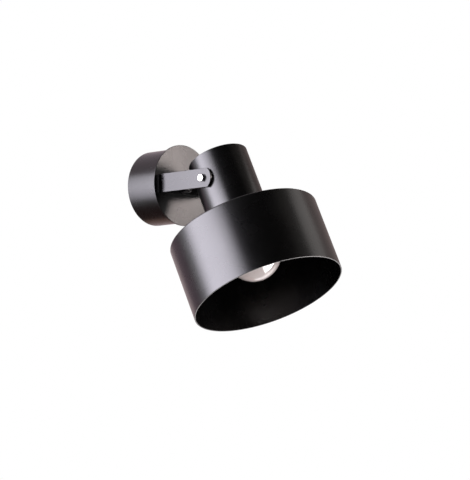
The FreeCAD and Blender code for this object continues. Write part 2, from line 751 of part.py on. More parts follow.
def terminal_block():
    """Three-pole block on the inside of the cup's front, its screw towers towards the wall."""
    body = new_piece("terminal_block")
    base = new_sketch(body, "XZ_Plane", "base", block_back)
    draw_rectangle(base, size.block_width, size.block_length, block_place, as_size(0))
    pad(body, base, size.block_height)
    towers = new_sketch(body, "XZ_Plane", "towers", tower_back)
    for height in pole_heights():
        draw_circle(towers, size.tower_diameter / 2, block_place, height)
    pad(body, towers, size.tower_height)
    bores = new_sketch(body, "YZ_Plane", "wire_bores", block_place - size.block_width / 2)
    for height in pole_heights():
        draw_circle(
            bores, size.insert_diameter / 2 + size.thread_slack, -insert_distance, height)
    cut(body, bores, size.block_width)
    screw_holes = new_sketch(body, "XZ_Plane", "screw_holes", tower_back)
    for height in pole_heights():
        draw_circle(
            screw_holes, size.clamp_screw_diameter / 2 + size.hole_slack, block_place, height)
    cut(body, screw_holes, insert_distance - tower_back)
    fixing = new_sketch(body, "XZ_Plane", "fixing_hole", block_back)
    draw_circle(
        fixing, size.block_screw_diameter / 2 + size.hole_slack,
        block_screw_place, size.pole_pitch / 2)
    cut(body, fixing, size.block_height)


def terminal_inserts():
    """Three brass sleeves, each with a threaded hole for its clamp screw."""
    body = new_piece("terminal_inserts")
    start = block_place - size.block_width / 2 + size.hole_slack
    length = size.block_width - size.hole_slack * 2
    sleeves = new_sketch(body, "YZ_Plane", "sleeves", start)
    for height in pole_heights():
        draw_circle(sleeves, size.insert_diameter / 2, -insert_distance, height)
        draw_circle(sleeves, size.insert_bore / 2, -insert_distance, height)
    pad(body, sleeves, length)
    threads = new_sketch(body, "XZ_Plane", "threads", tower_back)
    for height in pole_heights():
        draw_circle(
            threads, size.clamp_screw_diameter / 2 + size.thread_slack, block_place, height)
    cut(body, threads, insert_distance - tower_back)


def terminal_screws():
    """Three slotted clamp screws."""
    body = new_piece("terminal_screws")
    length = insert_distance - tower_back - size.insert_bore / 4
    start = tower_back + size.hole_slack
    shanks = new_sketch(body, "XZ_Plane", "shanks", start)
    for height in pole_heights():
        draw_circle(shanks, size.clamp_screw_diameter / 2, block_place, height)
    pad(body, shanks, length - size.hole_slack)
    slots = new_sketch(body, "XZ_Plane", "slots", start)
    for height in pole_heights():
        draw_rectangle(
            slots, size.clamp_screw_diameter * 1.2, size.clamp_screw_diameter / 5,
            block_place, height)
    cut(body, slots, size.clamp_screw_diameter / 3)


def pan_head_screw(body, x, z, seat, head_diameter, head_height, diameter, tip):
    """Screw that points at the room: its head lies behind seat and its end is at tip."""
    head = new_sketch(body, "XZ_Plane", "head", seat - head_height)
    draw_circle(head, head_diameter / 2, x, z)
    pad(body, head, head_height)
    shank = new_sketch(body, "XZ_Plane", "shank", seat)
    draw_circle(shank, diameter / 2, x, z)
    pad(body, shank, tip - seat)
    slot = new_sketch(body, "XZ_Plane", "slot", seat - head_height)
    draw_rectangle(slot, head_diameter * 1.2, head_diameter / 7, as_size(x), as_size(z))
    cut(body, slot, head_height / 2)


def terminal_block_screw():
    body = new_piece("terminal_block_screw")
    pan_head_screw(
        body, block_screw_place, size.pole_pitch / 2, block_back,
        size.block_screw_head, size.block_screw_diameter * 0.6, size.block_screw_diameter,
        cup_front_inside)


def earth_washer():
    body = new_piece("earth_washer")
    sketch = new_sketch(
        body, "XZ_Plane", "ring", cup_front_inside - size.earth_washer_thickness)
    draw_circle(sketch, size.earth_washer_diameter / 2, earth_place, 0)
    draw_circle(
        sketch, size.earth_screw_diameter / 2 + size.thread_slack, earth_place, 0)
    pad(body, sketch, size.earth_washer_thickness)


def earth_screw():
    body = new_piece("earth_screw")
    pan_head_screw(
        body, earth_place, as_size(0), cup_front_inside - size.earth_washer_thickness,
        size.earth_head_diameter, size.earth_head_height, size.earth_screw_diameter,
        cup_front_inside)


# ------------------------------------------------------------------ yoke


def yoke():
    """One strip bent to a U: base on the disc, arms to the pivot, ends arced round the pivot."""
    body = new_piece("yoke")
    base = new_sketch(body, "XZ_Plane", "base", size.canopy_depth)
    draw_rectangle(base, arm_outside * 2, size.yoke_width)
    draw_circle(base, nipple_hole_radius)
    pad(body, base, size.yoke_sheet)
    half_width = size.yoke_width / 2
    tip_corner = pivot_distance + root(
        size.arm_tip_radius * size.arm_tip_radius - half_width * half_width)
    arm = new_sketch(body, "YZ_Plane", "arm", arm_inside)
    draw_outline(arm, [
        (-size.canopy_depth, -half_width),
        (-size.canopy_depth, half_width),
        (-tip_corner, half_width, size.arm_tip_radius),
        (-tip_corner, -half_width),
    ])
    draw_circle(arm, bolt_radius + size.pivot_running_slack, -pivot_distance, 0)
    arm_pad = pad(body, arm, size.yoke_sheet)
    mirror(body, [arm_pad], "YZ_Plane")
    bend = size.yoke_bend_radius
    round_edges(body, bend + size.yoke_sheet, lambda middle, edge: (
        near(middle.y, -size.canopy_depth) and near(abs(middle.x), arm_outside)))
    round_edges(body, bend, lambda middle, edge: (
        near(middle.y, -yoke_front) and near(abs(middle.x), arm_inside)))
    round_edges(body, size.edge_softening, lambda middle, edge: (
        near(abs(middle.x), arm_outside) and middle.y < -yoke_front.number
        and (near(abs(middle.z), half_width) or near(middle.z, 0))
        and not near(math.hypot(middle.y + pivot_distance.number, middle.z),
                     bolt_radius + size.pivot_running_slack)))


# ------------------------------------------------------------------ pivot


def pivot_bolts():
    """Two hexagon bolts through the arms, the neck and the strap, heads outside."""
    body = new_piece("pivot_bolts", on_head=True)
    head = new_sketch(body, "YZ_Plane", "head", bolt_seat)
    draw_hexagon(head, size.pivot_head_across, size.pivot_head_turn)
    head_pad = pad(body, head, size.pivot_head_height)
    shank = new_sketch(body, "YZ_Plane", "shank", bolt_seat)
    draw_circle(shank, bolt_radius)
    shank_pad = pad(body, shank, size.pivot_bolt_length, reverse=True)
    face = bolt_seat + size.pivot_head_height
    corner_radius = size.pivot_head_across / 3 ** 0.5 + size.hole_slack
    flat_radius = size.pivot_head_across / 2 - size.pivot_head_chamfer
    drop = (corner_radius - flat_radius) / 3 ** 0.5
    corner = new_sketch(body, "XY_Plane", "corner")
    draw_outline(corner, [
        (face, flat_radius),
        (face, corner_radius),
        (face - drop, corner_radius),
    ])
    corner_groove = groove(body, corner, "H_Axis")
    dimple = new_sketch(body, "XY_Plane", "dimple")
    draw_outline(dimple, [
        (face, 0),
        (face, size.pivot_dimple_diameter / 2),
        (face - size.pivot_dimple_depth, 0),
    ])
    dimple_groove = groove(body, dimple, "H_Axis")
    mirror(body, [head_pad, shank_pad, corner_groove, dimple_groove], "YZ_Plane")


def mirrored_rings(label, start, outer_radius, inner_radius, thickness):
    """Two flat rings, one on each side of the head, along the pivot's axis."""
    body = new_piece(label, on_head=True)
    ring = ring_of(body, "YZ_Plane", start, outer_radius, inner_radius, thickness)
    mirror(body, [ring], "YZ_Plane")


def friction_washers():
    start = neck_radius + size.friction_gap
    mirrored_rings(
        "friction_washers", start, size.friction_washer_diameter / 2, bolt_hole_radius,
        arm_inside - size.friction_gap - start)


def pivot_washers():
    mirrored_rings(
        "pivot_washers", strap_inside - size.pivot_washer_thickness,
        size.pivot_washer_diameter / 2, bolt_hole_radius, size.pivot_washer_thickness)


def pivot_nuts():
    body = new_piece("pivot_nuts", on_head=True)
    start = strap_inside - size.pivot_washer_thickness - size.pivot_nut_height
    nut = hexagon_nut(
        body, "YZ_Plane", start, size.pivot_head_across, size.pivot_nut_height,
        bolt_radius + size.thread_slack)
    mirror(body, [nut], "YZ_Plane")


# ------------------------------------------------------------------ neck and shade


def neck_tube():
    """Tube with two bolt holes and, in its back, the grommet's hole."""
    body = new_piece("neck_tube", on_head=True)
    turned_about_head(body, "tube", [
        (neck_bore_radius, shade_top),
        (neck_radius, shade_top),
        (neck_radius, size.neck_above_pivot),
        (neck_bore_radius, size.neck_above_pivot),
    ])
    round_edges(body, size.edge_softening, lambda middle, edge: (
        near(middle.z, size.neck_above_pivot) and near(math.hypot(middle.x, middle.y), neck_radius)))
    bolts = new_sketch(body, "YZ_Plane", "bolt_holes")
    draw_circle(bolts, bolt_hole_radius)
    cut(body, bolts)
    lead = new_sketch(body, "XZ_Plane", "grommet_hole")
    draw_circle(lead, size.grommet_hole_diameter / 2, 0, size.grommet_height)
    cut(body, lead, neck_radius * 1.1, along_normal=False)


def neck_cap():
    body = new_piece("neck_cap", on_head=True)
    top = size.neck_above_pivot
    turned_about_head(body, "disc", [
        (0, top - size.cap_thickness),
        (neck_bore_radius - size.thread_slack, top - size.cap_thickness),
        (neck_bore_radius - size.thread_slack, top),
        (0, top),
    ])


def cable_grommet():
    """Rubber grommet in the neck's back, with a flange on each side of the tube's wall."""
    body = new_piece("cable_grommet", on_head=True)
    flange_radius = size.grommet_flange_diameter / 2
    waist_radius = size.grommet_hole_diameter / 2 - size.thread_slack
    outside = neck_radius
    inside = root(neck_bore_radius * neck_bore_radius - flange_radius * flange_radius)
    profile = new_sketch(body, "XY_Plane", "profile", size.grommet_height)
    draw_outline(profile, [
        (size.grommet_bore / 2, inside - size.grommet_flange_thickness),
        (flange_radius, inside - size.grommet_flange_thickness),
        (flange_radius, inside - size.thread_slack),
        (waist_radius, inside - size.thread_slack),
        (waist_radius, outside + size.thread_slack),
        (flange_radius, outside + size.thread_slack),
        (flange_radius, outside + size.grommet_flange_thickness),
        (size.grommet_bore / 2, outside + size.grommet_flange_thickness),
    ])
    revolve(body, profile)


def shade():
    """Spun drum with a closed top, a hole for the lampholder and a collar inside the neck."""
    body = new_piece("shade", on_head=True)
    collar_outer = neck_bore_radius - size.fit_slack
    collar_inner = collar_outer - size.spigot_wall
    turned_about_head(body, "drum", [
        (shade_hole_radius, shade_ceiling),
        (shade_radius - size.shade_sheet, shade_ceiling),
        (shade_radius - size.shade_sheet, shade_mouth),
        (shade_radius, shade_mouth),
        (shade_radius, shade_top),
        (collar_outer, shade_top),
        (collar_outer, shade_top + size.spigot_height),
        (collar_inner, shade_top + size.spigot_height),
        (collar_inner, shade_top),
        (shade_hole_radius, shade_top),
    ])
    round_edges(body, size.shade_corner_radius, lambda middle, edge: (
        near(middle.z, shade_top)
        and near(math.hypot(middle.x, middle.y), shade_radius)))
    round_edges(body, size.edge_softening, lambda middle, edge: (
        near(middle.z, shade_mouth)
        and near(math.hypot(middle.x, middle.y), shade_radius)))


# ------------------------------------------------------------------ lampholder


def holder_strap():
    """U strip inside the neck: arms under the pivot nuts, base carries the lampholder."""
    body = new_piece("holder_strap", on_head=True)
    base = new_sketch(body, "XY_Plane", "base", strap_base_bottom)
    draw_rectangle(base, strap_outside * 2, size.strap_width)
    draw_circle(base, nipple_hole_radius)
    pad(body, base, size.strap_sheet)
    half_width = size.strap_width / 2
    arm = new_sketch(body, "YZ_Plane", "arm", strap_inside)
    draw_outline(arm, [
        (-half_width, strap_base_bottom),
        (half_width, strap_base_bottom),
        (half_width, half_width),
        (-half_width, half_width),
    ])
    draw_circle(arm, bolt_hole_radius)
    arm_pad = pad(body, arm, size.strap_sheet)
    mirror(body, [arm_pad], "YZ_Plane")
    bend = size.strap_bend_radius

    def at_corner(x, z):
        return lambda middle, edge: (
            near(abs(middle.x), x) and near(middle.z, z)
            and near(middle.y, 0))
    round_edges(body, bend + size.strap_sheet, at_corner(strap_outside, strap_base_bottom))
    round_edges(body, bend, at_corner(strap_inside, strap_base_top))
    round_edges(body, size.strap_corner_radius, lambda middle, edge: (
        near(middle.z, half_width)
        and near(abs(middle.y), half_width)))


def holder_tube():
    """Hollow tube that hangs the lampholder from the strap."""
    body = new_piece("holder_tube", on_head=True)
    top = strap_base_top + size.holder_nipple_above
    bottom = top - size.holder_nipple_length
    turned_about_head(body, "tube", [
        (nipple_bore_radius, bottom),
        (nipple_radius, bottom),
        (nipple_radius, top),
        (nipple_bore_radius, top),
    ])


def holder_nut():
    body = new_piece("holder_nut", on_head=True)
    hexagon_nut(
        body, "XY_Plane", strap_base_top, size.big_nut_across, size.big_nut_height,
        nipple_thread_radius)


def holder_cap():
    """Cap over the lampholder's terminals, narrow where it meets the strap."""
    body = new_piece("holder_cap", on_head=True)
    wall = size.holder_wall
    rim = holder_shell_top - size.holder_cap_overlap
    turned_about_head(body, "profile", [
        (nipple_thread_radius, holder_cap_ledge),
        (size.holder_cap_shoulder - wall, holder_cap_ledge),
        (holder_cap_inner, holder_cap_corner - wall),
        (holder_cap_inner, rim),
        (holder_cap_outer, rim),
        (holder_cap_outer, holder_cap_corner),
        (size.holder_cap_shoulder, holder_cap_ledge),
        (size.holder_cap_shoulder, strap_base_bottom),
        (nipple_thread_radius, strap_base_bottom),
    ])


def holder_shell():
    """Shell with a flange on the shade's top and a thread below it for the shade ring."""
    body = new_piece("holder_shell", on_head=True)
    overlap_bottom = holder_shell_top - size.holder_cap_overlap - size.hole_slack
    flange_top = shade_top + size.holder_flange_thickness
    turned_about_head(body, "profile", [
        (holder_bore_radius, holder_mouth),
        (skirt_radius, holder_mouth),
        (skirt_radius, shade_top),
        (size.holder_flange_diameter / 2, shade_top),
        (size.holder_flange_diameter / 2, flange_top),
        (holder_cap_outer, flange_top),
        (holder_cap_outer, overlap_bottom),
        (holder_shell_upper, overlap_bottom),
        (holder_shell_upper, holder_shell_top),
        (holder_bore_radius, holder_shell_top),
    ])
    pitch, depth = size.holder_thread_pitch, size.holder_thread_depth
    turns = int((size.holder_skirt_length - size.ring_height).number // pitch.number)
    thread = new_sketch(body, "XZ_Plane", "thread")
    for turn in range(turns):
        root_height = holder_mouth + pitch * (turn + 0.5)
        draw_outline(thread, [
            (skirt_radius - depth, root_height),
            (skirt_radius + depth, root_height - depth * 2),
            (skirt_radius + depth, root_height + depth * 2),
        ])
    groove(body, thread)


def holder_insert():
    """Insulating cup inside the lampholder, with its floor above the bulb's contact."""
    body = new_piece("holder_insert", on_head=True)
    turned_about_head(body, "cup", [
        (0, insert_floor_bottom),
        (insert_bore_radius, insert_floor_bottom),
        (insert_bore_radius, insert_mouth),
        (insert_outer_radius, insert_mouth),
        (insert_outer_radius, insert_floor_top),
        (0, insert_floor_top),
    ])
    holes = new_sketch(body, "XY_Plane", "screw_holes", insert_floor_top)
    for side in (-1, 1):
        draw_circle(
            holes, size.holder_screw_diameter / 2 + size.thread_slack,
            size.holder_screw_spacing / 2 * side, 0)
    cut(body, holes, size.insert_floor / 2, along_normal=False)


def holder_screw_shell():
    """Thin metal sleeve that takes the bulb's screw cap."""
    body = new_piece("holder_screw_shell", on_head=True)
    turned_about_head(body, "sleeve", [
        (screw_shell_radius - size.screw_shell_wall, insert_mouth + size.holder_wall),
        (screw_shell_radius, insert_mouth + size.holder_wall),
        (screw_shell_radius, insert_floor_bottom),
        (screw_shell_radius - size.screw_shell_wall, insert_floor_bottom),
    ])


def holder_centre_contact():
    """Spring strip on the insert's floor, bent down to the bulb's end contact."""
    body = new_piece("holder_centre_contact", on_head=True)
    metal = size.contact_sheet
    top = insert_floor_bottom
    bottom = bulb_contact_end + size.thread_slack
    reach = size.bulb_contact_diameter / 2
    strip = new_sketch(body, "XZ_Plane", "strip")
    draw_outline(strip, [
        (reach, top),
        (-reach, top),
        (-reach, top - metal),
        (-reach / 2, top - metal),
        (0, bottom),
        (reach / 2, bottom),
        (reach / 2, bottom + metal),
        (reach / 8, bottom + metal),
        (-reach / 4, top - metal),
        (reach, top - metal),
    ])
    pad(body, strip, size.contact_width, symmetric=True)


def holder_terminal_screws():
    """Two clamp screws in the insert's upper side."""
    body = new_piece("holder_terminal_screws", on_head=True)
    radius = size.holder_screw_diameter / 2
    shanks = new_sketch(body, "XY_Plane", "shanks", insert_floor_top - size.insert_floor / 2)
    heads = new_sketch(body, "XY_Plane", "heads", insert_floor_top)
    for side in (-1, 1):
        draw_circle(shanks, radius, size.holder_screw_spacing / 2 * side, 0)
        draw_circle(heads, radius * 1.7, size.holder_screw_spacing / 2 * side, 0)
    pad(body, shanks, size.insert_floor / 2)
    pad(body, heads, radius)
    slots = new_sketch(body, "XY_Plane", "slots", insert_floor_top + radius)
    for side in (-1, 1):
        draw_rectangle(
            slots, radius / 2, radius * 4, size.holder_screw_spacing / 2 * side, as_size(0))
    cut(body, slots, radius / 2, along_normal=False)


def shade_ring():
    """Threaded ring under the shade's top, with finger notches round its grip."""
    body = new_piece("shade_ring", on_head=True)
    bore = skirt_radius + size.fit_slack
    bottom = shade_ceiling - size.ring_height
    grip_radius = size.ring_grip_diameter / 2
    turned_about_head(body, "profile", [
        (bore, bottom),
        (grip_radius, bottom),
        (grip_radius, shade_ceiling - size.ring_flange),
        (size.ring_diameter / 2, shade_ceiling - size.ring_flange),
        (size.ring_diameter / 2, shade_ceiling),
        (bore, shade_ceiling),
    ])
    notch = new_sketch(body, "XY_Plane", "notch", bottom)
    draw_circle(notch, size.ring_notch_radius, grip_radius + size.ring_notch_radius / 3, 0)
    first_notch = cut(body, notch, size.ring_height - size.ring_flange)
    repeat_round(body, [first_notch], "Z_Axis", size.ring_notches)


# ------------------------------------------------------------------ bulb


def bulb_dome():
    """Opal dome: most of the globe, as a thin shell."""
    body = new_piece("bulb_dome", on_head=True)
    inner_radius = globe_radius - size.bulb_wall
    inner_rim = root(
        inner_radius * inner_radius - size.bulb_rim_rise * size.bulb_rim_rise)
    turned_about_head(body, "shell", [
        (0, globe_tip, globe_radius),
        (bulb_rim_radius, bulb_rim_height),
        (inner_rim, bulb_rim_height, -inner_radius),
        (0, globe_tip + size.bulb_wall),
    ])


def bulb_housing():
    """Hollow housing between the dome and the screw cap, its flank curved inwards."""
    body = new_piece("bulb_housing", on_head=True)
    wall = size.bulb_wall
    neck = size.bulb_neck_diameter / 2
    flank = size.bulb_flank_radius
    turned_about_head(body, "shell", [
        (bulb_rim_radius - wall, bulb_rim_height),
        (bulb_rim_radius, bulb_rim_height, -flank),
        (neck, bulb_cap_start),
        (neck - wall, bulb_cap_start, flank + wall),
    ])


def bulb_circuit_board():
    """Round board behind the dome with a ring of light chips, its upper edge in the flank."""
    body = new_piece("bulb_circuit_board", on_head=True)
    flank_lean = (
        (bulb_rim_radius - size.bulb_neck_diameter / 2) / (bulb_cap_start - bulb_rim_height))
    board_radius = (
        bulb_rim_radius - size.bulb_wall - size.board_thickness * flank_lean
        - size.board_clearance)
    disc = new_sketch(body, "XY_Plane", "disc", bulb_rim_height)
    draw_circle(disc, board_radius)
    pad(body, disc, size.board_thickness)
    chip = new_sketch(body, "XY_Plane", "chip", bulb_rim_height)
    draw_rectangle(
        chip, size.board_chip_side, size.board_chip_side, size.board_chip_circle / 2, as_size(0))
    chip_pad = pad(body, chip, size.board_chip_height, reverse=True)
    repeat_round(body, [chip_pad], "Z_Axis", size.board_chips)


def bulb_screw_cap():
    """Thin metal cap with a round thread, open below and closed by the insulator above."""
    body = new_piece("bulb_screw_cap", on_head=True)
    crest = bulb_cap_radius
    valley = crest - size.bulb_thread_depth
    pitch = size.bulb_thread_pitch
    turns = int(size.bulb_thread_turns.number)
    bulge = size.bulb_thread_depth
    half_ridge = pitch * 0.4
    ridge_radius = (half_ridge * half_ridge + bulge * bulge) / (bulge * 2)
    first_ridge = bulb_insulator_start - pitch * (turns + 0.3)
    inside = valley - size.bulb_cap_sheet
    corners = [(inside, bulb_cap_start), (crest, bulb_cap_start), (valley, first_ridge - pitch / 4)]
    for turn in range(turns):
        ridge_bottom = first_ridge + pitch * turn
        corners.append((valley, ridge_bottom, ridge_radius))
        corners.append((valley, ridge_bottom + half_ridge * 2))
    corners.append((valley, bulb_insulator_start))
    corners.append((inside, bulb_insulator_start))
    turned_about_head(body, "shell", corners)


def bulb_insulator():
    body = new_piece("bulb_insulator", on_head=True)
    lower_radius = bulb_cap_radius - size.bulb_thread_depth
    upper_radius = size.bulb_contact_diameter / 2
    top = bulb_insulator_start + size.bulb_insulator_height
    turned_about_head(body, "cone", [
        (0, bulb_insulator_start),
        (lower_radius, bulb_insulator_start),
        (upper_radius, top),
        (0, top),
    ])


def bulb_end_contact():
    body = new_piece("bulb_end_contact", on_head=True)
    bottom = bulb_contact_end - size.bulb_contact_height
    radius = size.bulb_contact_diameter / 2
    turned_about_head(body, "button", [
        (0, bottom),
        (radius, bottom),
        (radius * 0.8, bulb_contact_end),
        (0, bulb_contact_end),
    ])


# ------------------------------------------------------------------ assembly

BUILD_ORDER = (
    canopy_shell, front_disc, wall_bracket, canopy_grub_screws,
    threaded_tube, toothed_washer, canopy_nut, yoke_washer, yoke_nut, cable_bush,
    terminal_block, terminal_inserts, terminal_screws, terminal_block_screw,
    earth_washer, earth_screw, yoke,
    pivot_bolts, friction_washers, pivot_washers, pivot_nuts,
    neck_tube, neck_cap, cable_grommet, shade,
    holder_strap, holder_tube, holder_nut, holder_cap, holder_shell, holder_insert,
    holder_screw_shell, holder_centre_contact, holder_terminal_screws, shade_ring,
    bulb_dome, bulb_housing, bulb_circuit_board, bulb_screw_cap, bulb_insulator, bulb_end_contact,
)

for build in BUILD_ORDER:
    build()
document.recompute()

for item in document.Objects:
    if "Invalid" in item.State or "Error" in item.State:
        raise ValueError(f"{item.Label} failed: {item.State}")
for body in pieces:
    if body.Shape.isNull() or not body.Shape.isValid() or not body.Shape.Solids:
        raise ValueError(f"{body.Label} has no valid shape")
for body in pieces:
    body.Shape.exportStep(os.path.join("parts", f"{body.Label}.step"))
    print(f"{body.Label}: {len(body.Shape.Solids)} solids, {body.Shape.Volume:.1f} mm3")
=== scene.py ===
"""Looks of the pivoting spotlight wall light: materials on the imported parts, studio and camera.

Metres and degrees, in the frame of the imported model: the wall is the plane Y = 0, the lamp stands
out towards -Y and +Z is up.
"""
import json
import math

import bpy
from mathutils import Matrix, Vector


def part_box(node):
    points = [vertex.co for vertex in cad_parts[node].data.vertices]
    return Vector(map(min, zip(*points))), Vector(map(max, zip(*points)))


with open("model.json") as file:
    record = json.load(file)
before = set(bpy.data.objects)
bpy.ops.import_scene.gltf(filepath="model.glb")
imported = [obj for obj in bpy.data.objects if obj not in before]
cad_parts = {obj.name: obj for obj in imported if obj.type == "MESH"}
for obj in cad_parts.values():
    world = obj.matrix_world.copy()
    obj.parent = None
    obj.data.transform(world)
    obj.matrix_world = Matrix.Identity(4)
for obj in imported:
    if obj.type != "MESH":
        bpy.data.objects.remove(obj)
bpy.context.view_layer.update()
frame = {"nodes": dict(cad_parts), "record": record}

scene = bpy.context.scene
scene.view_settings.view_transform = "Standard"

# ------------------------------------------------------------------ camera

IMAGE_HEIGHT_PX = 480
FOCAL_LENGTH_PX = 2509.87
SENSOR_MM = 36.0
CAMERA_AZIMUTH = -45.99
CAMERA_ELEVATION = -5.104
CAMERA_ROLL = -0.85
CAMERA_DISTANCE = 2.5
AIM_RIGHT_OF_DISC = 0.051485
AIM_ABOVE_DISC = -0.054275

UP = Vector((0, 0, 1))


def compass(azimuth, elevation):
    """Unit vector; azimuth 0 points out of the wall and 90 to the right of someone facing it."""
    turn, rise = math.radians(azimuth), math.radians(elevation)
    level = math.cos(rise)
    return Vector((math.sin(turn) * level, -math.cos(turn) * level, math.sin(rise)))


def make_camera():
    """Long lens at the photographed angle, aimed beside the middle of the front disc."""
    back = compass(CAMERA_AZIMUTH, CAMERA_ELEVATION)
    level_right = UP.cross(back).normalized()
    level_up = back.cross(level_right)
    roll = math.radians(CAMERA_ROLL)
    right = level_right * math.cos(roll) + level_up * math.sin(roll)
    up = level_up * math.cos(roll) - level_right * math.sin(roll)
    disc_face = Vector((0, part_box("front_disc")[0].y, 0))
    aim = disc_face + right * AIM_RIGHT_OF_DISC + up * AIM_ABOVE_DISC
    camera = bpy.data.objects.new("camera", bpy.data.cameras.new("camera"))
    scene.collection.objects.link(camera)
    camera.data.sensor_width = SENSOR_MM
    camera.data.lens = FOCAL_LENGTH_PX / IMAGE_HEIGHT_PX * SENSOR_MM
    camera.matrix_world = (
        Matrix.Translation(aim + back * CAMERA_DISTANCE)
        @ Matrix((right, up, back)).transposed().to_4x4()
    )
    scene.camera = camera


# ------------------------------------------------------------------ studio

LAMP_MIDDLE = Vector((0, -0.12, -0.05))

AMBIENT_COLOUR = (1.0, 0.985, 0.97)
AMBIENT_STRENGTH = 0.45
WHITE = (1, 1, 1)

FLOOR_HEIGHT = -2.3
FLOOR_SIDE = 40.0
FLOOR_COLOUR = (0.90, 0.90, 0.89)
FLOOR_ROUGHNESS = 0.7
FLOOR_LIFT = 0.50

# Cards: name, azimuths and elevations as seen from the lamp, tone, distance from it.
CARD_COLUMNS = 12
CARD_ROWS = 10
FAR, NEAR = 1.6, 0.5
CARDS = (
    ("camera_card", (-36, 62), (-62, 80), (0.01, 0.01, 0.01), FAR),
    ("upper_right_card", (62, 112), (34, 80), (0.12, 0.11, 0.10), FAR),
    ("near_right_card", (84, 114), (23, 42), (1.40, 1.32, 1.28), NEAR),
    ("back_right_card", (112, 180), (-12, 80), (0.40, 0.32, 0.31), FAR),
    ("low_back_card", (128, 176), (-50, -12), (2.60, 2.48, 2.48), FAR),
    ("low_rear_card", (176, 204), (-60, -12), (0.50, 0.30, 0.25), FAR),
    ("back_left_card", (-180, -144), (-26, 26), (0.78, 0.62, 0.64), FAR),
    ("far_left_card", (-144, -112), (-26, 26), (0.40, 0.28, 0.34), FAR),
    ("high_left_card", (-180, -92), (26, 80), (0.66, 0.55, 0.61), FAR),
    ("low_left_card", (-156, -70), (-80, -32), (0.08, 0.03, 0.025), FAR),
)

# Panels: name, azimuth, elevation and distance from the lamp, (width, height), radiance, colour.
LEFT_SOFTBOX = ("left_softbox", -64.6, 3.5, 0.9, (0.92, 0.82), 13.7, (0.924, 0.885, 1.0))
GLOSS_PANELS = (
    ("right_strip", 79, 10, 1.0, (0.56, 0.16), 17.0, (1.0, 0.87, 0.84)),
    ("low_softbox", 91, -40, 1.0, (0.62, 0.66), 18.0, (1.0, 0.96, 0.95)),
)
FILL_PANELS = (
    ("left_fill", -70, 10, 1.2, (1.0, 1.0), 1.6, (0.97, 0.97, 1.0)),
    ("low_fill", 70, -51, 1.0, (0.6, 0.6), 4.0, (1.0, 0.98, 0.97)),
)
SOFT_EDGE = 0.26
SOFT_LAYERS = (-1, 0, 1)
SOFT_LAYER_GAP = 0.01


def from_camera(azimuth, elevation):
    """Unit vector; azimuth 0 points from the lamp towards the camera and 90 to its right."""
    return compass(CAMERA_AZIMUTH + azimuth, elevation)


def lamp_panel(name, azimuth, elevation, distance, size, radiance, colour, in_gloss):
    """Panel that faces the lamp and shows either in gloss alone or on matt surfaces alone."""
    width, height = size
    light = bpy.data.lights.new(name, "AREA")
    light.shape = "RECTANGLE"
    light.size = width
    light.size_y = height
    light.color = colour
    light.energy = radiance * math.pi * width * height
    panel = bpy.data.objects.new(name, light)
    scene.collection.objects.link(panel)
    outwards = from_camera(azimuth, elevation)
    panel.location = LAMP_MIDDLE + outwards * distance
    panel.rotation_euler = outwards.to_track_quat("Z", "Y").to_euler()
    panel.visible_camera = False
    panel.visible_glossy = in_gloss
    panel.visible_diffuse = not in_gloss


def softbox(name, azimuth, elevation, distance, size, radiance, colour):
    """Nested panels that show in gloss alone, bright in the middle and fading over the edge."""
    for number, layer in enumerate(SOFT_LAYERS, 1):
        lamp_panel(
            f"{name}_{number}", azimuth, elevation, distance + SOFT_LAYER_GAP * layer,
            [side + SOFT_EDGE * layer for side in size], radiance / len(SOFT_LAYERS), colour, True)


def make_world():
    """White wherever it is seen or mirrored, and an even, weaker light on matt surfaces."""
    world = bpy.data.worlds.new("studio")
    world.use_nodes = True
    scene.world = world
    tree = world.node_tree
    tree.nodes.clear()
    path = tree.nodes.new("ShaderNodeLightPath")
    seen = path.outputs["Is Camera Ray"]
    for ray in ("Is Glossy Ray", "Is Transmission Ray"):
        either = tree.nodes.new("ShaderNodeMath")
        either.operation = "MAXIMUM"
        tree.links.new(seen, either.inputs[0])
        tree.links.new(path.outputs[ray], either.inputs[1])
        seen = either.outputs[0]
    mix = tree.nodes.new("ShaderNodeMixShader")
    tree.links.new(seen, mix.inputs[0])
    lights = ((AMBIENT_COLOUR, AMBIENT_STRENGTH), (WHITE, 1.0))
    for socket, (colour, strength) in zip(mix.inputs[1:], lights):
        background = tree.nodes.new("ShaderNodeBackground")
        background.inputs["Color"].default_value = (*colour, 1)
        background.inputs["Strength"].default_value = strength
        tree.links.new(background.outputs[0], socket)
    output = tree.nodes.new("ShaderNodeOutputWorld")
    tree.links.new(mix.outputs[0], output.inputs["Surface"])


def floor_paint():
    """Pale matt paint that the camera sees nearly white, and that still takes a shadow."""
    material = bpy.data.materials.new("floor_paint")
    material.use_nodes = True
    tree = material.node_tree
    shader = tree.nodes["Principled BSDF"]
    shader.inputs["Base Color"].default_value = (*FLOOR_COLOUR, 1)
    shader.inputs["Roughness"].default_value = FLOOR_ROUGHNESS
    shader.inputs["Specular IOR Level"].default_value = 0
    shader.inputs["Emission Color"].default_value = (*WHITE, 1)
    path = tree.nodes.new("ShaderNodeLightPath")
    lift = tree.nodes.new("ShaderNodeMath")
    lift.operation = "MULTIPLY"
    lift.inputs[1].default_value = FLOOR_LIFT
    tree.links.new(path.outputs["Is Camera Ray"], lift.inputs[0])
    tree.links.new(lift.outputs[0], shader.inputs["Emission Strength"])
    return material


def make_floor():
    """Square floor well below the lamp."""
    mesh = bpy.data.meshes.new("floor")
    half = FLOOR_SIDE / 2
    corners = [(-half, -half), (half, -half), (half, half), (-half, half)]
    mesh.from_pydata([(x, y, FLOOR_HEIGHT) for x, y in corners], [], [(0, 1, 2, 3)])
    floor = bpy.data.objects.new("floor", mesh)
    scene.collection.objects.link(floor)
    mesh.materials.append(floor_paint())


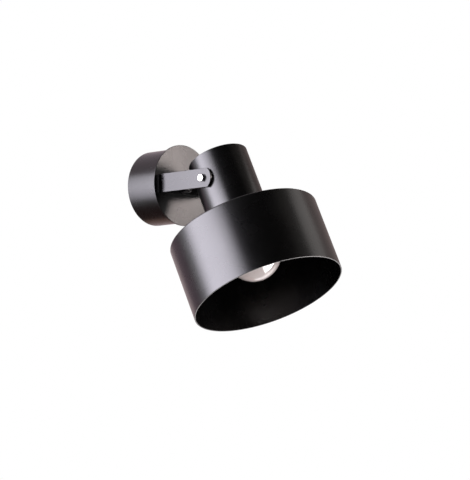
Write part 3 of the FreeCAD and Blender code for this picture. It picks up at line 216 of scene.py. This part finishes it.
def glowing_tone(name, tone):
    """Material of one even tone that needs no light."""
    material = bpy.data.materials.new(name)
    material.use_nodes = True
    tree = material.node_tree
    tree.nodes.clear()
    glow = tree.nodes.new("ShaderNodeEmission")
    glow.inputs["Color"].default_value = (*tone, 1)
    output = tree.nodes.new("ShaderNodeOutputMaterial")
    tree.links.new(glow.outputs[0], output.inputs["Surface"])
    return material


def make_card(name, azimuths, elevations, tone, distance):
    """Curved card round the lamp, of an even tone, that only shows in reflections."""
    points = []
    for row in range(CARD_ROWS + 1):
        elevation = elevations[0] + (elevations[1] - elevations[0]) * row / CARD_ROWS
        for column in range(CARD_COLUMNS + 1):
            azimuth = azimuths[0] + (azimuths[1] - azimuths[0]) * column / CARD_COLUMNS
            points.append(LAMP_MIDDLE + from_camera(azimuth, elevation) * distance)
    stride = CARD_COLUMNS + 1
    faces = []
    for row in range(CARD_ROWS):
        for first in range(row * stride, row * stride + CARD_COLUMNS):
            faces.append((first, first + 1, first + stride + 1, first + stride))
    mesh = bpy.data.meshes.new(name)
    mesh.from_pydata(points, [], faces)
    card = bpy.data.objects.new(name, mesh)
    scene.collection.objects.link(card)
    mesh.materials.append(glowing_tone(name + "_tone", tone))
    card.visible_camera = False
    card.visible_diffuse = False
    card.visible_shadow = False


def make_studio():
    """World, floor, and the cards and panels that the coat mirrors."""
    make_world()
    make_floor()
    for card in CARDS:
        make_card(*card)
    softbox(*LEFT_SOFTBOX)
    for panel in GLOSS_PANELS:
        lamp_panel(*panel, in_gloss=True)
    for panel in FILL_PANELS:
        lamp_panel(*panel, in_gloss=False)


# ------------------------------------------------------------------ materials

MICROMETRE = 0.000001

# Most of a noise's values lie between these.
NOISE_LOW, NOISE_HIGH = 0.3, 0.7

# Sockets of a mix node: factor, first value, second value, result.
MIX_SOCKETS = {"RGBA": (0, 6, 7, 2), "FLOAT": (0, 2, 3, 0)}

WEAR_REACH = 0.0008
WEAR_COLOUR = (0.010, 0.0095, 0.009)
WEAR_ROUGHNESS = 0.24

# Plated metals: slot, dark and light colour, lowest and highest roughness.
PLATED_METALS = (
    ("zinc_steel", (0.54, 0.53, 0.51), (0.62, 0.62, 0.61), 0.20, 0.30),
    ("black_steel", (0.035, 0.034, 0.036), (0.060, 0.058, 0.060), 0.34, 0.46),
    ("brass", (0.70, 0.50, 0.21), (0.80, 0.60, 0.29), 0.22, 0.36),
    ("nickel_plate", (0.66, 0.63, 0.58), (0.74, 0.72, 0.68), 0.18, 0.30),
)

# Mouldings and glazes: the same, and the depth of the grain in micrometres.
MOULDINGS = (
    ("natural_plastic", (0.74, 0.71, 0.61), (0.80, 0.78, 0.69), 0.38, 0.48, 8),
    ("black_plastic", (0.014, 0.014, 0.015), (0.020, 0.020, 0.021), 0.40, 0.52, 8),
    ("black_rubber", (0.012, 0.012, 0.012), (0.020, 0.019, 0.019), 0.62, 0.78, 15),
    ("ceramic", (0.80, 0.78, 0.73), (0.86, 0.85, 0.81), 0.10, 0.18, 3),
    ("white_plastic", (0.76, 0.74, 0.73), (0.81, 0.79, 0.78), 0.22, 0.32, 3),
    ("white_board", (0.80, 0.80, 0.78), (0.86, 0.86, 0.84), 0.40, 0.52, 8),
    ("black_glass", (0.010, 0.010, 0.014), (0.016, 0.016, 0.022), 0.06, 0.12, 2),
)


class Surface:
    """A material under construction: its node tree, and short ways to add and join nodes."""

    def __init__(self, name):
        self.material = bpy.data.materials.new(name)
        self.material.use_nodes = True
        self.tree = self.material.node_tree
        self.shader = self.tree.nodes["Principled BSDF"]
        self.place = self.add("ShaderNodeTexCoord").outputs["Object"]

    def add(self, kind, **settings):
        """New node with those settings."""
        node = self.tree.nodes.new(kind)
        for name, value in settings.items():
            setattr(node, name, value)
        return node

    def join(self, source, target):
        """Link from an output socket to an input socket."""
        self.tree.links.new(source, target)

    def put(self, name, value):
        """Sets a plain value on the main shader's own socket."""
        self.shader.inputs[name].default_value = value

    def noise(self, size, detail, stretch=None):
        """Noise whose blobs are about size metres across, from 0 to 1."""
        texture = self.add("ShaderNodeTexNoise")
        texture.inputs["Scale"].default_value = 1 / size
        texture.inputs["Detail"].default_value = detail
        place = self.place
        if stretch:
            mapping = self.add("ShaderNodeMapping")
            mapping.inputs["Scale"].default_value = stretch
            self.join(place, mapping.inputs["Vector"])
            place = mapping.outputs["Vector"]
        self.join(place, texture.inputs["Vector"])
        return texture.outputs["Fac"]

    def cells(self, size):
        """Flat patches about size metres across, each with its own grey."""
        texture = self.add("ShaderNodeTexVoronoi")
        texture.inputs["Scale"].default_value = 1 / size
        self.join(self.place, texture.inputs["Vector"])
        grey = self.add("ShaderNodeSeparateColor")
        self.join(texture.outputs["Color"], grey.inputs["Color"])
        return grey.outputs["Red"]

    def spread(self, value, low, high, low_in=NOISE_LOW, high_in=NOISE_HIGH):
        """Goes from low to high as value goes from low_in to high_in."""
        node = self.add("ShaderNodeMapRange")
        node.inputs["From Min"].default_value = low_in
        node.inputs["From Max"].default_value = high_in
        node.inputs["To Min"].default_value = low
        node.inputs["To Max"].default_value = high
        self.join(value, node.inputs["Value"])
        return node.outputs["Result"]

    def mix(self, kind, factor, first, second):
        """Goes from first to second with factor; each of the two is a socket or a plain value."""
        node = self.add("ShaderNodeMix", data_type=kind)
        factor_at, first_at, second_at, result_at = MIX_SOCKETS[kind]
        self.join(factor, node.inputs[factor_at])
        for value, place in ((first, first_at), (second, second_at)):
            if isinstance(value, bpy.types.NodeSocket):
                self.join(value, node.inputs[place])
            else:
                node.inputs[place].default_value = value
        return node.outputs[result_at]

    def colour(self, value, first, second, low_in=NOISE_LOW, high_in=NOISE_HIGH):
        """Base colour that goes from first to second with value."""
        factor = self.spread(value, 0, 1, low_in, high_in)
        colour = self.mix("RGBA", factor, (*first, 1), (*second, 1))
        self.join(colour, self.shader.inputs["Base Color"])

    def roughness(self, value, low, high, low_in=NOISE_LOW, high_in=NOISE_HIGH):
        """Roughness that goes from low to high with value."""
        self.join(self.spread(value, low, high, low_in, high_in), self.shader.inputs["Roughness"])

    def worn_edges(self, reach):
        """From 0 on open faces to 1 in rubbed patches, within reach metres of an edge."""
        rounded = self.add("ShaderNodeBevel", samples=8)
        rounded.inputs["Radius"].default_value = reach
        true_normal = self.add("ShaderNodeNewGeometry").outputs["Normal"]
        flatness = self.add("ShaderNodeVectorMath", operation="DOT_PRODUCT")
        self.join(rounded.outputs["Normal"], flatness.inputs[0])
        self.join(true_normal, flatness.inputs[1])
        at_edge = self.spread(flatness.outputs["Value"], low=1, high=0, low_in=0.75, high_in=0.97)
        patches = self.noise(size=0.004, detail=4)
        worn = self.add("ShaderNodeMath", operation="MULTIPLY")
        self.join(at_edge, worn.inputs[0])
        self.join(self.spread(patches, low=0.4, high=1, low_in=0.42, high_in=0.60), worn.inputs[1])
        return worn.outputs[0]

    def wear(self, worn, colour, roughness):
        """Lays another colour and roughness over the surface where worn is above 0."""
        layers = (("Base Color", "RGBA", (*colour, 1)), ("Roughness", "FLOAT", roughness))
        for name, kind, over in layers:
            socket = self.shader.inputs[name]
            self.join(self.mix(kind, worn, socket.links[0].from_socket, over), socket)

    def bumps(self, *layers):
        """Relief from (value, depth in metres) layers, finest last."""
        normal = None
        for value, depth in layers:
            bump = self.add("ShaderNodeBump")
            bump.inputs["Strength"].default_value = 1
            bump.inputs["Distance"].default_value = depth
            self.join(value, bump.inputs["Height"])
            if normal:
                self.join(normal, bump.inputs["Normal"])
            normal = bump.outputs["Normal"]
        self.join(normal, self.shader.inputs["Normal"])


def powder_coat(name):
    """Satin black powder coat: orange peel with a fine tooth, clouds of gloss, rubbed edges."""
    surface = Surface(name)
    clouds = surface.noise(size=0.030, detail=3)
    peel = surface.noise(size=0.0011, detail=2)
    tooth = surface.noise(size=0.00025, detail=1)
    surface.colour(clouds, (0.0014, 0.0013, 0.0014), (0.0024, 0.0022, 0.0022))
    surface.roughness(clouds, low=0.25, high=0.29)
    surface.wear(surface.worn_edges(WEAR_REACH), WEAR_COLOUR, WEAR_ROUGHNESS)
    surface.bumps((peel, 4 * MICROMETRE), (tooth, MICROMETRE))
    return surface.material


def plated_metal(name, dark, light, low_roughness, high_roughness):
    """Plated metal: faint blotches of tint, and fine drawn lines."""
    surface = Surface(name)
    blotches = surface.noise(size=0.004, detail=3)
    lines = surface.noise(size=0.0006, detail=3, stretch=(1, 6, 1))
    surface.colour(blotches, dark, light)
    surface.roughness(lines, low_roughness, high_roughness)
    surface.bumps((lines, 4 * MICROMETRE))
    surface.put("Metallic", 1)
    return surface.material


def galvanised_sheet(name):
    """Zinc sheet with its spangle of grey crystals."""
    surface = Surface(name)
    spangle = surface.cells(size=0.0035)
    grain = surface.noise(size=0.0004, detail=2)
    surface.colour(spangle, (0.42, 0.43, 0.45), (0.62, 0.63, 0.64), low_in=0, high_in=1)
    surface.roughness(spangle, low=0.30, high=0.48, low_in=0, high_in=1)
    surface.bumps((grain, 4 * MICROMETRE))
    surface.put("Metallic", 1)
    return surface.material


def moulded_plastic(name, dark, light, low_roughness, high_roughness, grain):
    """Moulded plastic or glaze: faint clouds of colour over a fine eroded grain."""
    surface = Surface(name)
    clouds = surface.noise(size=0.012, detail=2)
    texture = surface.noise(size=0.0005, detail=3)
    surface.colour(clouds, dark, light)
    surface.roughness(texture, low_roughness, high_roughness)
    surface.bumps((texture, grain * MICROMETRE))
    return surface.material


def opal_dome(name):
    """Opal bulb: milky, faintly pink, with a glassy skin over slow waves in the wall."""
    surface = Surface(name)
    milk = surface.noise(size=0.010, detail=3)
    waves = surface.noise(size=0.006, detail=1)
    surface.colour(milk, (0.66, 0.575, 0.57), (0.72, 0.635, 0.63))
    surface.roughness(milk, low=0.06, high=0.10)
    surface.bumps((waves, 10 * MICROMETRE))
    surface.put("Coat Weight", 0.3)
    surface.put("Coat Roughness", 0.04)
    return surface.material


def make_materials():
    """One material for each of the record's slots, by slot."""
    materials = {
        "black_coat": powder_coat("black_coat"),
        "galvanised_steel": galvanised_sheet("galvanised_steel"),
        "opal": opal_dome("opal"),
    }
    for slot, *looks in PLATED_METALS:
        materials[slot] = plated_metal(slot, *looks)
    for slot, *looks in MOULDINGS:
        materials[slot] = moulded_plastic(slot, *looks)
    return materials


def dress_nodes():
    """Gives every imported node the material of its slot."""
    materials = make_materials()
    for part in frame["record"]["subparts"]:
        mesh = frame["nodes"][part["node"]].data
        mesh.materials.clear()
        mesh.materials.append(materials[part["material_slot"]])


# ------------------------------------------------------------------ scene

make_camera()
make_studio()
dress_nodes()

bpy.context.view_layer.update()
